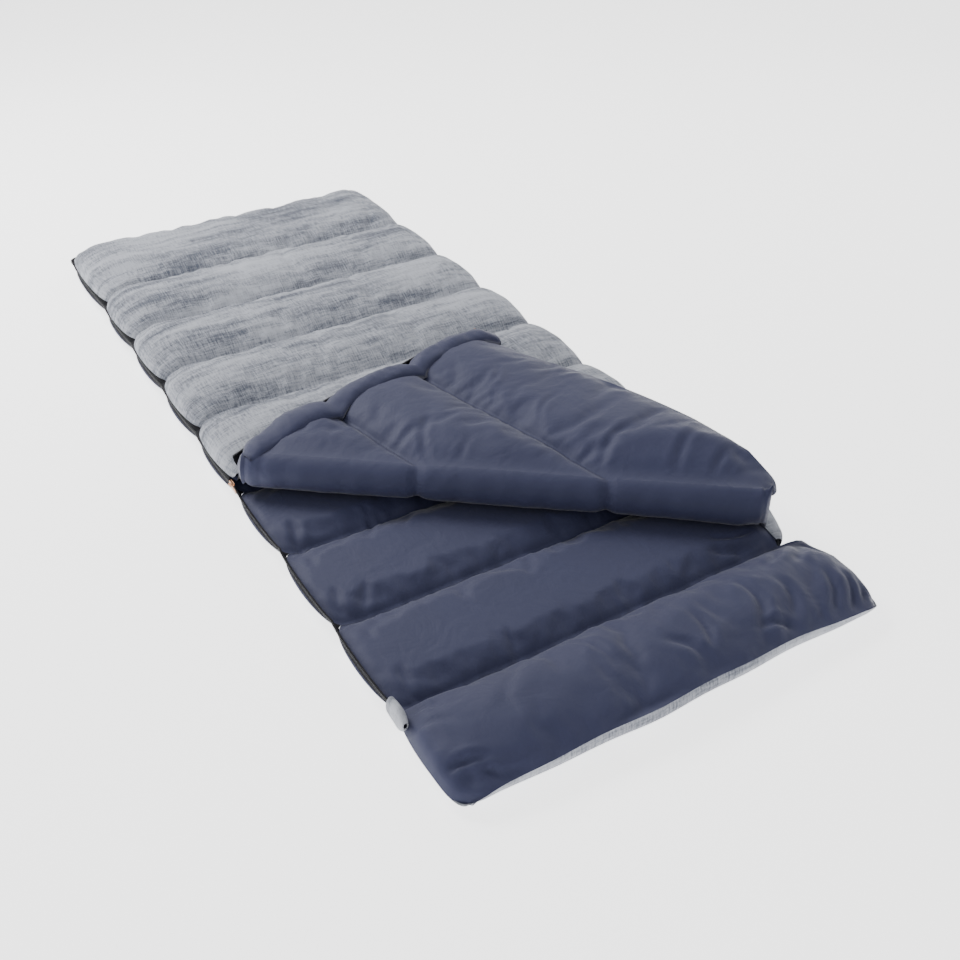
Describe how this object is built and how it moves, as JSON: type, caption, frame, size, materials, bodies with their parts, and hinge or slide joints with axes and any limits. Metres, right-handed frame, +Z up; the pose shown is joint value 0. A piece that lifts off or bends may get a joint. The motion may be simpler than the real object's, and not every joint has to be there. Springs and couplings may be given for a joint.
{
  "type": "rectangular sleeping bag",
  "caption": "Rectangular quilted sleeping bag laid flat, its zip part open and the corner of its cover folded back over the lining.",
  "frame": {"origin": "on the floor under the middle of the bag, the middle of its underside", "axes": "+Z up; +Y along the bag from the pillow end to the foot; +X across it, from the zip side to the folded side"},
  "size_m": [0.824, 2.0088, 0.1526],
  "materials": {
    "shell_cloth": "matte",
    "lining_cloth": "matte",
    "wadding": "matte",
    "thread": "matte",
    "zip_tape": "matte",
    "zip_coil": "satin",
    "zip_metal": "satin"
  },
  "bodies": {
    "base": {"base_shell": "shell_cloth", "base_lining": "lining_cloth", "base_batt": "wadding", "pillow_batt": "wadding", "base_quilting_thread": "thread", "base_zip_tape": "zip_tape", "base_zip_coil": "zip_coil", "base_top_stop": "zip_metal", "zip_end_box": "zip_coil", "zip_garage": "shell_cloth", "side_fold_lining": "lining_cloth", "side_fold_batt": "wadding", "side_fold_shell": "shell_cloth"},
    "quilt": {"quilt_lining": "lining_cloth", "quilt_shell": "shell_cloth", "quilt_batt": "wadding", "quilt_quilting_thread": "thread", "quilt_zip_tape": "zip_tape", "quilt_zip_coil": "zip_coil", "quilt_zip_pin": "zip_coil", "fold_shell": "shell_cloth", "fold_batt": "wadding", "fold_lining": "lining_cloth", "quilt_draught_tube": "lining_cloth", "quilt_draught_filling": "wadding"},
    "flap": {"flap_lining": "lining_cloth", "flap_shell": "shell_cloth", "flap_batt": "wadding", "flap_quilting_thread": "thread", "flap_zip_tape": "zip_tape", "flap_zip_coil": "zip_coil", "flap_top_stop": "zip_metal", "flap_draught_tube": "lining_cloth", "flap_draught_filling": "wadding"},
    "slider": {"slider_body": "zip_metal"},
    "pull": {"pull_tab": "zip_metal"}
  },
  "joints": [
    {"name": "quilt_open", "type": "hinge", "parent": "base", "child": "quilt", "pos_m": [0.361, 0, 0.044], "axis": [0, 1, 0], "range_deg": [0, 180], "deforming": ["side_fold_lining", "side_fold_batt", "side_fold_shell"]},
    {"name": "flap_fold", "type": "hinge", "parent": "quilt", "child": "flap", "pos_m": [-0.405, -0.149, 0.0883], "axis": [0.7858, -0.6185, 0], "range_deg": [0, 180], "deforming": ["fold_shell", "fold_batt", "fold_lining", "flap_draught_tube", "flap_draught_filling"]},
    {"name": "slider_travel", "type": "slide", "parent": "base", "child": "slider", "axis": [0, 1, 0], "range_m": [-0.66, 1.11]},
    {"name": "pull_swing", "type": "hinge", "parent": "slider", "child": "pull", "pos_m": [-0.41485, -0.1415, 0.044], "axis": [0, 0, -1], "range_deg": [0, 170]}
  ]
}
